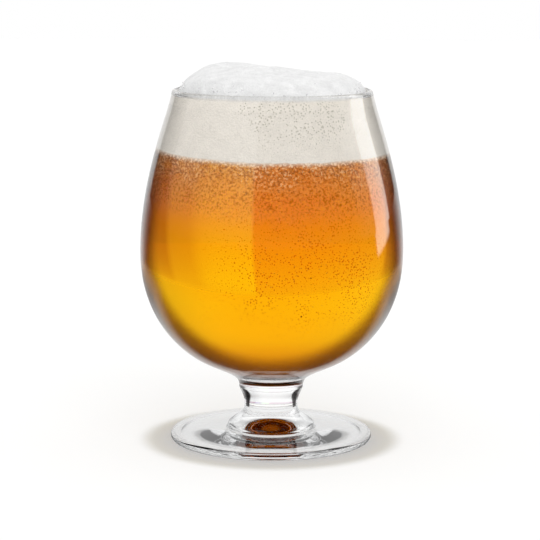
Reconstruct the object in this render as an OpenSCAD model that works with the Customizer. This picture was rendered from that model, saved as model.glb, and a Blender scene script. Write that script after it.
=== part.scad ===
// Stemmed beer glass, filled: a blown bowl, a short waisted stem and a pressed disc foot, fused hot,
// one above the other, holding beer under a head of foam that domes over the rim.
// Millimetres, +Z up, the origin at the centre of the face the glass stands on.
// Every piece is turned about +Z from curves between a few named rings; only the foam's crown is not round.

/* [Bowl] */
// Height of the rim above the table
rim_h = 130; // [120:1:150]
// Diameter of the mouth, across the middle of the rim bead
mouth_d = 71.4; // [66:0.2:80]
// Angle by which the wall leans inwards at the mouth, in degrees
mouth_lean = 16; // [10:1:24]
// Largest outside diameter of the bowl
belly_d = 97; // [90:0.2:106]
// Height of the largest ring above the table
belly_h = 70.5; // [64:0.5:78]
// Thickness of the glass at the mouth
mouth_wall = 1.5; // [1.1:0.1:2.2]
// Thickness of the glass at the belly
belly_wall = 1.8; // [1.3:0.1:2.6]
// How far the fire-polished bead of the rim stands out of either side of the wall
bead_out = 0.35; // [0.05:0.05:0.6]
// Outside diameter where the underside of the bowl turns hollow, towards the collar
hip_d = 48.2; // [40:0.2:56]
// Height of that ring above the table
hip_h = 28.8; // [27:0.1:31]
// Slope of the underside at that ring, in degrees from the table
hip_slope = 24.5; // [18:0.5:32]
// Thickness of the solid glass between the drink and the seam with the stem
base_t = 8; // [6:0.5:10]
// Diameter of the flat middle of the bowl's floor
floor_d = 12; // [8:0.5:18]

/* [Stem] */
// Height of the seam between the bowl and the stem
bowl_seam_h = 19.6; // [18.5:0.1:21]
// Diameter of the glass at that seam
bowl_seam_d = 23.8; // [22.5:0.1:26]
// Height of the seam between the stem and the foot, at the waist
foot_seam_h = 12.6; // [12:0.1:14.5]
// Diameter of the waist
waist_d = 19.8; // [18:0.1:22]
// Depth and half height of the fine groove that each fused seam leaves
seam_groove = 0.15; // [0.1:0.05:0.3]

/* [Foot] */
// Largest diameter of the foot
foot_d = 74.8; // [68:0.2:84]
// Thickness of the foot's rounded edge
foot_edge_t = 2.9; // [2.4:0.1:3.6]
// Diameter of the round boss in the middle of the foot
boss_d = 32.4; // [30:0.2:36]
// Height of the disc's top above the table, where the boss rises from it
disc_h = 4.4; // [3.4:0.1:5]
// Radius of the hollow corner round the boss
boss_fillet = 0.7; // [0.4:0.1:1.2]
// Diameter where the side of the boss turns into the flare under the waist
shoulder_d = 25.6; // [24:0.2:28]
// Height of that shoulder above the table
shoulder_h = 8.4; // [7.6:0.1:9.4]
// Slope of the boss at the shoulder, in degrees from the table
shoulder_slope = 40; // [30:1:50]
// Width of the flat ring that the glass stands on
ring_w = 2.4; // [1.6:0.1:4]
// Height of the shallow hollow under the disc
hollow_h = 0.5; // [0.3:0.1:0.9]
// Diameter of the deeper hollow under the boss
kick_d = 31; // [26:0.5:34]
// Height of that hollow above the table, at its middle
kick_h = 4.6; // [3:0.1:5.6]

/* [Drink] */
// Height of the line between the beer and the foam
beer_h = 107.3; // [90:0.5:115]
// Height of the foam's crown above the rim, at the middle
crown_h = 7.3; // [5:0.1:12]
// How much higher the crown is on its left than at the middle
crown_lean = 1.5; // [0:0.1:3]
// Height of the soft lumps on the crown
crown_lump = 1.1; // [0:0.1:1.6]

/* [Hidden] */

$fn = 128;
// Points on each curve between two rings, and on each small round edge
curve_steps = 16;
edge_steps = 8;

// Radii of the rings, from the driving diameters
mouth_r = mouth_d / 2;
belly_r = belly_d / 2;
hip_r = hip_d / 2;
floor_r = floor_d / 2;
bowl_seam_r = bowl_seam_d / 2;
waist_r = waist_d / 2;
shoulder_r = shoulder_d / 2;
boss_r = boss_d / 2;
kick_r = kick_d / 2;
foot_r = foot_d / 2;

// How far each curve holds its direction at a ring, as a share of the rise or the reach to the next ring
belly_up_share = 0.41;
belly_down_share = 0.52;
mouth_hold_share = 0.2;
hip_out_share = 0.58;
hip_in_share = 0.87;
collar_hold_share = 0.42;
inside_down_share = 0.6;
floor_out_share = 0.48;
stem_hold_share = 0.5;
flare_drop_share = 0.5;
flare_out_share = 0.75;
boss_side_share = 0.4;
boss_top_share = 0.45;
fillet_share = 0.55;
disc_in_share = 0.3;
disc_out_share = 0.4;
kick_in_share = 0.25;
kick_out_share = 0.35;
kick_drop_share = 0.5;
hollow_share = 0.12;

// Rim bead: a round of this radius, on the middle of the wall
bead_r = mouth_wall / 2 + bead_out;
bead_h = rim_h - bead_r;
bead_join = acos(1 - bead_out / bead_r);

// The drink's floor, and the height at which the foam leaves the wall, just under the bead
floor_h = bowl_seam_h + base_t;
foam_edge_h = rim_h - 2 * bead_r;

// Foam crown: its outline inside the bead, how its edge and its top are rounded, and its mesh
crown_gap = 0.1;
crown_r = mouth_r - bead_r - crown_gap;
crown_sink = 1.2;
crown_edge_power = 4.7;
crown_top_power = 0.58;
crown_rings = 12;
crown_sectors = 60;
// The crown's higher side, round the axis from +X, and the share of its radius over which it comes up
crown_lean_turn = 180;
crown_lean_share = 0.4;
// Where round the axis the threefold and the twofold lumps start
lump_three_turn = 67;
lump_two_turn = -24;

// A point at a distance from another, in a direction given in degrees from the radius outwards
function toward(p, angle, distance) = p + distance * [cos(angle), sin(angle)];

// Points on a curve that leaves p0 towards p1 and reaches p3 from p2, without its first point
function curve(p0, p1, p2, p3, steps = curve_steps) = [
    for (i = [1 : steps])
        let (t = i / steps, u = 1 - t)
        u * u * u * p0 + 3 * u * u * t * p1 + 3 * u * t * t * p2 + t * t * t * p3
];

// Points on a round, from one angle to another
function round_points(centre, radius, from, to, steps = edge_steps) = [
    for (i = [0 : steps]) toward(centre, from + (to - from) * i / steps, radius)
];

// The bead over the rim, from the outer side of the wall to the inner side
bead_points = round_points([mouth_r, bead_h], bead_r, mouth_lean - bead_join, 180 + mouth_lean + bead_join,
    2 * edge_steps);
outer_lip = bead_points[0];
inner_lip = bead_points[2 * edge_steps];

// Direction of the wall at the mouth, looking down, and its hold there
mouth_down = mouth_lean - 90;
mouth_hold = mouth_hold_share * (rim_h - belly_h);

// Rings that the outer curves pass through
outer_belly = [belly_r, belly_h];
outer_hip = [hip_r, hip_h];
outer_seam = [bowl_seam_r, bowl_seam_h];
inner_belly = [belly_r - belly_wall, belly_h];
inner_floor = [floor_r, floor_h];

// Outside of the bowl, from the stem's seam up to the bead
function bowl_outside() = concat(
    [[bowl_seam_r - seam_groove, bowl_seam_h], outer_seam + [0, seam_groove]],
    curve(
        outer_seam + [0, seam_groove],
        outer_seam + [0, collar_hold_share * (hip_h - bowl_seam_h)],
        toward(outer_hip, 180 + hip_slope, hip_in_share * (hip_r - bowl_seam_r)),
        outer_hip
    ),
    curve(
        outer_hip,
        toward(outer_hip, hip_slope, hip_out_share * (belly_r - hip_r)),
        outer_belly - [0, belly_down_share * (belly_h - hip_h)],
        outer_belly
    ),
    curve(
        outer_belly,
        outer_belly + [0, belly_up_share * (rim_h - belly_h)],
        toward(outer_lip, mouth_down, mouth_hold),
        outer_lip
    )
);

// Inside of the bowl, from the bead down to the axis
function bowl_inside() = concat(
    [inner_lip],
    curve(
        inner_lip,
        toward(inner_lip, mouth_down, mouth_hold),
        inner_belly + [0, belly_up_share * (rim_h - belly_h)],
        inner_belly
    ),
    curve(
        inner_belly,
        inner_belly - [0, inside_down_share * (belly_h - floor_h)],
        inner_floor + [floor_out_share * (inner_belly[0] - floor_r), 0],
        inner_floor
    ),
    [[0, floor_h]]
);

// Everything inside the bowl's walls, up to a height
module bowl_space(top_h) {
    intersection() {
        rotate_extrude()
            polygon(concat([[0, inner_lip[1]]], bowl_inside()));
        cylinder(r = belly_r, h = top_h);
    }
}

// Blown shell, heavy at the bottom, with a fire-polished bead on its rim
module bowl() {
    color([0.86, 0.92, 0.93, 0.35])
        rotate_extrude()
            polygon(concat([[0, bowl_seam_h]], bowl_outside(), bead_points, bowl_inside()));
}

// Short solid stem, drawn in to the waist between its two fused seams
module stem() {
    top = [bowl_seam_r, bowl_seam_h - seam_groove];
    waist = [waist_r, foot_seam_h + seam_groove];
    hold = stem_hold_share * (bowl_seam_h - foot_seam_h);
    color([0.84, 0.90, 0.92, 0.35])
        rotate_extrude()
            polygon(concat(
                [[0, foot_seam_h], [waist_r - seam_groove, foot_seam_h], waist],
                curve(waist, waist + [0, hold], toward(top, 180 + 90 - mouth_lean, hold / 2), top),
                [[bowl_seam_r - seam_groove, bowl_seam_h], [0, bowl_seam_h]]
            ));
}

// Underside of the foot, from the axis out to the flat ring: the hollow under the boss, then the shallower one
function foot_underside(ring_in) =
    let (kick = [0, kick_h], kick_foot = [kick_r, hollow_h], hold = [hollow_share * (ring_in[0] - kick_r), 0])
    concat(
        [kick],
        curve(
            kick,
            kick + [kick_in_share * kick_r, 0],
            kick_foot + [-kick_out_share * kick_r, kick_drop_share * (kick_h - hollow_h)],
            kick_foot
        ),
        curve(kick_foot, kick_foot + hold, ring_in - hold + [0, hollow_h], ring_in)
    );

// Top of the foot, from the disc's edge up the side of the boss to the waist
function foot_top(edge_top, waist) =
    let (
        reach = foot_r - boss_r,
        shoulder = [shoulder_r, shoulder_h],
        boss_foot = [boss_r + boss_fillet, disc_h],
        boss_side = [boss_r, disc_h + boss_fillet],
        rise = shoulder_h - boss_side[1],
        corner = fillet_share * boss_fillet
    )
    concat(
        curve(
            edge_top,
            edge_top - [disc_out_share * reach, 0],
            boss_foot + [disc_in_share * reach, 0],
            boss_foot
        ),
        curve(boss_foot, boss_foot - [corner, 0], boss_side - [0, corner], boss_side, edge_steps),
        curve(
            boss_side,
            boss_side + [0, boss_side_share * rise],
            toward(shoulder, -shoulder_slope, boss_top_share * rise),
            shoulder
        ),
        curve(
            shoulder,
            toward(shoulder, 180 - shoulder_slope, flare_out_share * (shoulder_r - waist_r)),
            waist - [0, flare_drop_share * (foot_seam_h - shoulder_h)],
            waist
        )
    );

// Pressed foot: a flare under the waist, a round boss, a thin disc with a round edge, and a hollow underside
module foot() {
    waist = [waist_r, foot_seam_h - seam_groove];
    edge_r = foot_edge_t / 2;
    edge = [foot_r - edge_r, edge_r];
    ring_out = [foot_r - edge_r, 0];
    color([0.84, 0.90, 0.92, 0.35])
        rotate_extrude()
            polygon(concat(
                [[0, foot_seam_h]],
                foot_underside(ring_out - [ring_w, 0]),
                round_points(edge, edge_r, -90, 90),
                foot_top(toward(edge, 90, edge_r), waist),
                [[waist_r - seam_groove, foot_seam_h]]
            ));
}

// The drink, which fills the bowl up to the foam
module beer() {
    color([0.93, 0.55, 0.10, 0.85])
        bowl_space(beer_h);
}

// How much the soft lumps lift the crown, at a share of its radius and a turn round the axis
function crown_lumps(share, turn) =
    crown_lump * (sin(3 * turn + lump_three_turn) * share + sin(2 * turn + lump_two_turn) * sin(360 * share));

// Height of the crown over the foam's edge, at a share of its radius and a turn round the axis
function crown_rise(share, turn) =
    pow(1 - pow(share, crown_edge_power), crown_top_power)
    * (rim_h + crown_h - foam_edge_h
        + crown_lean * sin(90 * min(1, share / crown_lean_share)) * cos(turn - crown_lean_turn)
        + crown_lumps(share, turn));

// One ring of the crown's mesh, the rings being closer together near the edge, where it is steepest
function crown_ring(i) = [
    for (k = [0 : crown_sectors - 1])
        let (turn = 360 * k / crown_sectors, share = sin(90 * (1 - i / crown_rings)))
        [crown_r * share * cos(turn), crown_r * share * sin(turn), foam_edge_h + crown_rise(share, turn)]
];

// Domed top of the foam: a base ring sunk in the foam below, the rings of the dome and the middle point
module crown() {
    base = [for (p = crown_ring(0)) [p[0], p[1], foam_edge_h - crown_sink]];
    middle = [0, 0, foam_edge_h + crown_rise(0, 0)];
    points = concat(base, [for (i = [0 : crown_rings - 1]) each crown_ring(i)], [middle]);
    n = crown_sectors;
    last = n * crown_rings;
    faces = concat(
        [[for (k = [0 : n - 1]) k]],
        [for (i = [0 : crown_rings - 1], k = [0 : n - 1])
            [i * n + k, (i + 1) * n + k, (i + 1) * n + (k + 1) % n]],
        [for (i = [0 : crown_rings - 1], k = [0 : n - 1])
            [i * n + k, (i + 1) * n + (k + 1) % n, i * n + (k + 1) % n]],
        [for (k = [0 : n - 1]) [last + k, last + n, last + (k + 1) % n]]
    );
    polyhedron(points, faces);
}

// Head of foam: the layer under the rim, round like the bowl, and the crown that stands over the rim
module foam_head() {
    color([0.97, 0.95, 0.90])
        union() {
            difference() {
                bowl_space(foam_edge_h);
                cylinder(r = belly_r, h = beer_h);
            }
            crown();
        }
}

bowl();
stem();
foot();
beer();
foam_head();
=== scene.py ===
"""Stemmed beer glass, filled: its glass, beer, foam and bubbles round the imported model, and a studio.

Metres, +Z up, the origin at the centre of the face the glass stands on, the photograph's camera on the
-Y side.
"""

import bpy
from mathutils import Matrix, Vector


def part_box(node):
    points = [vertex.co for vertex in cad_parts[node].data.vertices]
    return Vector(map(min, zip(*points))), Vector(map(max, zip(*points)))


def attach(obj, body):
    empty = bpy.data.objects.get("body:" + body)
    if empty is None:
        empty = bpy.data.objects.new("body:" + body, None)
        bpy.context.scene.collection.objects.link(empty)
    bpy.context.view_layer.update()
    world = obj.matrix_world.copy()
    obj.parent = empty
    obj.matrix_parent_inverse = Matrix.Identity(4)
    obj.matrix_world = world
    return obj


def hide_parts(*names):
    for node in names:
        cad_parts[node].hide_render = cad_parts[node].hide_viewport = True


bl_info = {
    "name": "Beer Glass",
    "version": (1, 0, 0),
    "blender": (4, 5, 0),
    "location": "3D View > Sidebar > Beer Glass",
    "description": "Makes a stemmed glass of beer with its foam and bubbles, and a plain studio round it",
    "category": "Object",
}

import math

import bmesh
import bpy
import numpy as np
from bpy.props import FloatProperty, FloatVectorProperty, IntProperty, PointerProperty
from mathutils import Vector, noise

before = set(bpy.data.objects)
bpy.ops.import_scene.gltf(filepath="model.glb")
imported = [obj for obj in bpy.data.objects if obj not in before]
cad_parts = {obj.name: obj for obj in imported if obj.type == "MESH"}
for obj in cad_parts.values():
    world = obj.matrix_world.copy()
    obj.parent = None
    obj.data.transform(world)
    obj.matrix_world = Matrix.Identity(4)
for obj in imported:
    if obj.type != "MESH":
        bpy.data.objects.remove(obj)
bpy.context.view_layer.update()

MM = 0.001
BODY = "root"
# Points of a mesh nearer to each other than this are one
JOINED = 0.002 * MM

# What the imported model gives
RIM_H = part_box("bowl")[1].z
BELLY_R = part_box("bowl")[1].x
BOWL_SEAM_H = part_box("bowl")[0].z
BOWL_SEAM_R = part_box("stem")[1].x
FOOT_SEAM_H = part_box("foot")[1].z
FOOT_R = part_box("foot")[1].x
BEER_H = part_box("beer")[1].z


def length(name, description, default):
    """A size that a user may change."""
    return FloatProperty(name=name, description=description, default=default, unit="LENGTH")


def angle(name, description, degrees):
    """An angle that a user may change."""
    return FloatProperty(name=name, description=description, default=math.radians(degrees), subtype="ANGLE")


def share(name, description, default):
    """A share between 0 and 1, or a strength."""
    return FloatProperty(name=name, description=description, default=default, min=0.0, subtype="FACTOR")


def colour(name, description, default):
    """A colour that a user may change."""
    return FloatVectorProperty(name=name, description=description, default=default, size=3, subtype="COLOR")


class BEERGLASS_PG_glass(bpy.types.PropertyGroup):
    """Sizes and finish of the bowl, the stem and the foot."""

    mouth_r: length("Mouth radius", "Radius of the mouth, at the middle of the bead", 35.7 * MM)
    mouth_lean: angle("Mouth lean", "How far the wall leans inwards at the mouth", 16.0)
    belly_h: length("Belly height", "Height of the largest ring above the table", 70.5 * MM)
    mouth_wall: length("Mouth wall", "Thickness of the glass at the mouth", 1.5 * MM)
    belly_wall: length("Belly wall", "Thickness of the glass at the belly", 1.8 * MM)
    bead_out: length("Bead", "How far the bead stands out of either side of the wall", 0.35 * MM)
    hip_r: length("Hip radius", "Radius where the underside turns hollow, towards the collar", 24.1 * MM)
    hip_h: length("Hip height", "Height of that ring above the table", 28.8 * MM)
    hip_slope: angle("Hip slope", "Slope of the underside at that ring", 24.5)
    base_t: length("Base", "Solid glass between the drink and the seam with the stem", 8.0 * MM)
    floor_r: length("Floor radius", "Radius of the flat middle of the bowl's floor", 6.0 * MM)
    waist_r: length("Waist radius", "Radius of the stem's waist", 9.9 * MM)
    seam_groove: length("Seam groove", "Depth of the fine groove that a fused seam leaves", 0.05 * MM)
    foot_edge_t: length("Foot edge", "Thickness of the foot's rounded edge", 2.9 * MM)
    boss_r: length("Boss radius", "Radius of the round boss in the middle of the foot", 16.2 * MM)
    disc_h: length("Disc", "Height of the disc's top where the boss rises from it", 4.4 * MM)
    boss_fillet: length("Boss fillet", "Radius of the hollow corner round the boss", 0.7 * MM)
    shoulder_r: length("Shoulder radius", "Radius where the boss turns into the stem's flare", 12.8 * MM)
    shoulder_h: length("Shoulder height", "Height of that shoulder", 8.4 * MM)
    shoulder_slope: angle("Shoulder slope", "Slope of the boss at that shoulder", 40.0)
    ring_w: length("Ring", "Width of the flat ring that the glass stands on", 2.4 * MM)
    hollow_h: length("Hollow", "Height of the shallow hollow under the disc", 0.5 * MM)
    kick_r: length("Kick radius", "Radius of the deeper hollow under the boss", 15.5 * MM)
    kick_h: length("Kick", "Height of that hollow at its middle", 4.6 * MM)
    sides: IntProperty(name="Sides", description="Sides of each turned piece", default=192, min=24)
    steps: IntProperty(name="Steps", description="Points on each curve of an outline", default=36, min=4)
    dry: length("Dry rim", "How far below the rim the drink wets the glass", 4.0 * MM)
    tint: colour("Tint", "Colour of light through the glass", (0.995, 0.998, 0.997))
    # Painted shade: the colour that the glass darkens to where it is seen along its face
    edge_shade: colour("Edge tint", "Colour of light through glass seen along its face", (0.55, 0.56, 0.57))
    wave: length("Wave", "Depth of the faint waves in the glass", 0.02 * MM)


class BEERGLASS_PG_drink(bpy.types.PropertyGroup):
    """Sizes and finish of the beer and its foam."""

    film: length("Film", "Gap between the beer's surface and the glass", 0.07 * MM)
    foam_film: length("Foam film", "Gap between the foam and the glass", 0.02 * MM)
    overlap: length("Overlap", "How far the beer reaches up into the foam", 3.2 * MM)
    ragged: length("Ragged edge", "How much the foam's lower edge wanders up and down", 0.5 * MM)
    lift: length("Lift", "How much higher the foam's lower edge is on its left", 1.5 * MM)
    pucker: length("Pucker", "Depth of the small folds in the foam's crown", 0.35 * MM)
    crown_h: length("Crown height", "Height of the foam's crown above the rim", 7.3 * MM)
    crown_lean: length("Crown lean", "How much higher the crown is on its left", 1.5 * MM)
    crown_lump: length("Crown lumps", "Height of the soft lumps on the crown", 1.1 * MM)
    amber: colour("Amber", "Colour that the beer leaves in the light", (0.9985, 0.885, 0.0))
    depth_of_amber: FloatProperty(
        name="Depth of amber",
        description="How strongly the beer colours the light, per metre",
        default=75.0,
    )
    cream: colour("Cream", "Colour of the foam", (0.99, 0.925, 0.83))
    froth: colour("Froth", "Colour of the airy crown", (0.93, 0.93, 0.93))
    seed: IntProperty(name="Seed", description="Where the bubbles fall", default=7)


class BEERGLASS_PG_studio(bpy.types.PropertyGroup):
    """The floor, the light and the camera."""

    camera_at: FloatVectorProperty(
        name="Camera",
        description="Place of the camera",
        default=(-0.0006, -0.7447, 0.1845),
        subtype="TRANSLATION",
    )
    camera_pitch: angle("Pitch", "How far the camera looks down", 9.25)
    camera_roll: angle("Roll", "How far the camera is turned about its own line of sight", 0.25)
    lens: FloatProperty(name="Lens", description="Focal length in mm on a 36 mm sensor", default=136.0)
    floor_half: length("Floor", "Half the width of the floor", 3.0)
    top_light: share("Top light", "Strength of the soft light from above", 1.3)
    front_light: share("Front light", "Strength of the soft light from the front", 0.68)
    ambient: share("Ambient", "Strength of the light from all round", 0.52)


# Outlines, as points of (radius, height)

# How long a curve holds its direction at a ring, as a share of the rise or the reach to the next ring
COLLAR_HOLD = 0.42
HIP_INWARD_HOLD = 0.87
HIP_OUTWARD_HOLD = 0.58
BELLY_DOWN_HOLD = 0.52
BELLY_UP_HOLD = 0.41
MOUTH_HOLD = 0.2
INNER_BELLY_HOLD = 0.6
INNER_FLOOR_HOLD = 0.48
WAIST_HOLD = 0.5
COLLAR_DOWN_HOLD = 0.25
KICK_MIDDLE_HOLD = 0.25
KICK_SIDE_HOLD = 0.35
KICK_DROP = 0.5
HOLLOW_HOLD = 0.12
DISC_EDGE_HOLD = 0.4
DISC_BOSS_HOLD = 0.3
BOSS_SIDE_HOLD = 0.4
SHOULDER_DOWN_HOLD = 0.45
SHOULDER_UP_HOLD = 0.75
FLARE_HOLD = 0.5
# The same for the hollow corner round the boss, and for the soft ones beside the bead
ROUND_HOLD = 0.55
SOFT_HOLD = 0.6

# How full the crown is towards its edge, and how steeply it leaves it
CROWN_EDGE = 4.7
CROWN_TOP = 0.58
# The share of its radius over which the crown's higher side comes up, and how its lumps are turned
LEAN_REACH = 0.4
THREEFOLD_TURN = math.radians(67)
TWOFOLD_TURN = math.radians(-24)


def toward(p, turn, distance):
    """A point at a distance from another, in a direction from the radius outwards."""
    return p + distance * np.array([math.cos(turn), math.sin(turn)])


def curve(p0, p1, p2, p3, steps):
    """Points on a curve that leaves p0 towards p1 and reaches p3 from p2, without its first point."""
    t = np.arange(1, steps + 1)[:, None] / steps
    u = 1 - t
    return u**3 * p0 + 3 * u * u * t * p1 + 3 * u * t * t * p2 + t**3 * p3


def round_points(centre, radius, start, end, steps):
    """Points on a round, from one angle to another."""
    return np.array([toward(centre, start + (end - start) * i / steps, radius) for i in range(steps + 1)])


def point(r, h):
    """A point of an outline."""
    return np.array([r, h])


def lip_points(g):
    """The bead over the rim, from the outer side of the wall to the inner side."""
    bead_r = g.mouth_wall / 2 + g.bead_out
    join = math.acos(1 - g.bead_out / bead_r)
    centre = point(g.mouth_r, RIM_H - bead_r)
    start, end = g.mouth_lean - join, math.pi + g.mouth_lean + join
    return round_points(centre, bead_r, start, end, 2 * g.steps // 3)


def soften(corner, before, after, steps):
    """Points of a soft corner between two points of an outline, without its first point."""
    out, back = before + SOFT_HOLD * (corner - before), after + SOFT_HOLD * (corner - after)
    return curve(before, out, back, after, steps)


def bowl_outline(g):
    """Outline of the bowl's glass, from the axis in its seam, over the bead and down to the axis inside."""
    lip = lip_points(g)
    outside, inside = bowl_outside(g, lip[0]), bowl_inside(g, lip[-1])
    turn_in, cut = len(lip) // 6, g.steps // 6
    return np.vstack([
        [point(0, BOWL_SEAM_H)],
        outside[:-cut],
        soften(lip[0], outside[-cut - 1], lip[turn_in], g.steps // 2),
        lip[turn_in + 1:-turn_in],
        soften(lip[-1], lip[-turn_in - 1], inside[cut], g.steps // 2),
        inside[cut + 1:],
    ])


def side_holds(g, belly, lip):
    """Where the wall heads as it leaves the belly, and where it comes from as it reaches the bead."""
    rise = RIM_H - g.belly_h
    under_lip = toward(lip, g.mouth_lean - math.pi / 2, MOUTH_HOLD * rise)
    return belly + point(0, BELLY_UP_HOLD * rise), under_lip


def bowl_outside(g, lip):
    """Outside of the bowl, from the stem's seam up to the bead."""
    belly, hip = point(BELLY_R, g.belly_h), point(g.hip_r, g.hip_h)
    seam = point(BOWL_SEAM_R, BOWL_SEAM_H + g.seam_groove)
    collar = point(0, COLLAR_HOLD * (g.hip_h - BOWL_SEAM_H) - g.seam_groove)
    to_collar = toward(hip, math.pi + g.hip_slope, HIP_INWARD_HOLD * (g.hip_r - BOWL_SEAM_R))
    to_belly = toward(hip, g.hip_slope, HIP_OUTWARD_HOLD * (BELLY_R - g.hip_r))
    under_belly = belly - point(0, BELLY_DOWN_HOLD * (g.belly_h - g.hip_h))
    over_belly, under_lip = side_holds(g, belly, lip)
    return np.vstack([
        [point(BOWL_SEAM_R - g.seam_groove, BOWL_SEAM_H), seam],
        curve(seam, seam + collar, to_collar, hip, g.steps),
        curve(hip, to_belly, under_belly, belly, g.steps),
        curve(belly, over_belly, under_lip, lip, g.steps),
    ])


def bowl_inside(g, lip, gap=0.0):
    """Inside of the bowl, from the bead down to the axis, or a skin that lies a gap inside it."""
    floor_h = BOWL_SEAM_H + g.base_t + gap
    belly, floor = point(BELLY_R - g.belly_wall - gap, g.belly_h), point(g.floor_r, floor_h)
    lip = lip - point(gap, 0)
    over_belly, under_lip = side_holds(g, belly, lip)
    under_belly = belly - point(0, INNER_BELLY_HOLD * (g.belly_h - floor_h))
    beside_floor = floor + point(INNER_FLOOR_HOLD * (belly[0] - g.floor_r), 0)
    return np.vstack([
        [lip],
        curve(lip, under_lip, over_belly, belly, g.steps),
        curve(belly, under_belly, beside_floor, floor, g.steps),
        [point(0, floor_h)],
    ])


def skin_inside(g, gap):
    """The inside of the bowl from the axis up to the bead, or a skin that lies a gap inside it."""
    return bowl_inside(g, lip_points(g)[-1], gap)[::-1]


def radius_at(skin, h):
    """Radius of a skin at one height, or at several."""
    return np.interp(h, skin[:, 1], skin[:, 0])


def stem_outline(g):
    """Outline of the stem, from the axis under it to the axis over it."""
    top = point(BOWL_SEAM_R, BOWL_SEAM_H - g.seam_groove)
    waist = point(g.waist_r, FOOT_SEAM_H + g.seam_groove)
    rise = BOWL_SEAM_H - FOOT_SEAM_H
    under_top = toward(top, math.radians(270) - g.mouth_lean, COLLAR_DOWN_HOLD * rise)
    return np.vstack([
        [point(0, FOOT_SEAM_H), point(g.waist_r - g.seam_groove, FOOT_SEAM_H), waist],
        curve(waist, waist + point(0, WAIST_HOLD * rise), under_top, top, g.steps),
        [point(BOWL_SEAM_R - g.seam_groove, BOWL_SEAM_H), point(0, BOWL_SEAM_H)],
    ])


def foot_underside(g, ring_in):
    """Underside of the foot, from the axis out to its flat ring."""
    kick, kick_foot = point(0, g.kick_h), point(g.kick_r, g.hollow_h)
    hold = point(HOLLOW_HOLD * (ring_in[0] - g.kick_r), 0)
    beside_kick = kick + point(KICK_MIDDLE_HOLD * g.kick_r, 0)
    over_kick_foot = kick_foot + point(-KICK_SIDE_HOLD * g.kick_r, KICK_DROP * (g.kick_h - g.hollow_h))
    return np.vstack([
        [kick],
        curve(kick, beside_kick, over_kick_foot, kick_foot, g.steps),
        curve(kick_foot, kick_foot + hold, ring_in - hold + point(0, g.hollow_h), ring_in, g.steps),
    ])


def foot_top(g, edge_top, waist):
    """Top of the foot, from the disc's edge up the side of the boss to the waist."""
    reach = FOOT_R - g.boss_r
    shoulder = point(g.shoulder_r, g.shoulder_h)
    boss_foot = point(g.boss_r + g.boss_fillet, g.disc_h)
    boss_side = point(g.boss_r, g.disc_h + g.boss_fillet)
    rise = g.shoulder_h - boss_side[1]
    corner = ROUND_HOLD * g.boss_fillet
    in_corner, under_side = boss_foot - point(corner, 0), boss_side - point(0, corner)
    inward, outward = point(-DISC_EDGE_HOLD * reach, 0), point(DISC_BOSS_HOLD * reach, 0)
    under_shoulder = toward(shoulder, -g.shoulder_slope, SHOULDER_DOWN_HOLD * rise)
    up = math.pi - g.shoulder_slope
    over_shoulder = toward(shoulder, up, SHOULDER_UP_HOLD * (g.shoulder_r - g.waist_r))
    under_waist = waist - point(0, FLARE_HOLD * (FOOT_SEAM_H - g.shoulder_h))
    return np.vstack([
        curve(edge_top, edge_top + inward, boss_foot + outward, boss_foot, g.steps),
        curve(boss_foot, in_corner, under_side, boss_side, g.steps // 3),
        curve(boss_side, boss_side + point(0, BOSS_SIDE_HOLD * rise), under_shoulder, shoulder, g.steps),
        curve(shoulder, over_shoulder, under_waist, waist, g.steps),
    ])


def foot_outline(g):
    """Outline of the foot, from the axis under it, round its edge and up to the axis over it."""
    edge_r = g.foot_edge_t / 2
    edge = point(FOOT_R - edge_r, edge_r)
    waist = point(g.waist_r, FOOT_SEAM_H - g.seam_groove)
    return np.vstack([
        foot_underside(g, point(FOOT_R - edge_r - g.ring_w, 0)),
        round_points(edge, edge_r, -math.pi / 2, math.pi / 2, g.steps),
        foot_top(g, edge + point(0, edge_r), waist),
        [point(g.waist_r - g.seam_groove, FOOT_SEAM_H), point(0, FOOT_SEAM_H)],
    ])


def crown_rise(d, foot_of_crown, reach, turn):
    """Height of the crown over the foam's edge, at a share of its radius and a turn round the axis."""
    lumps = np.sin(3 * turn + THREEFOLD_TURN) * reach
    lumps = lumps + np.sin(2 * turn + TWOFOLD_TURN) * np.sin(2 * math.pi * reach)
    lean = np.sin(math.pi / 2 * np.minimum(1, reach / LEAN_REACH)) * np.cos(turn - math.pi)
    dome = np.power(np.clip(1 - np.power(reach, CROWN_EDGE), 0, 1), CROWN_TOP)
    return dome * (RIM_H + d.crown_h - foot_of_crown + d.crown_lean * lean + d.crown_lump * lumps)


# Node trees


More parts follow.
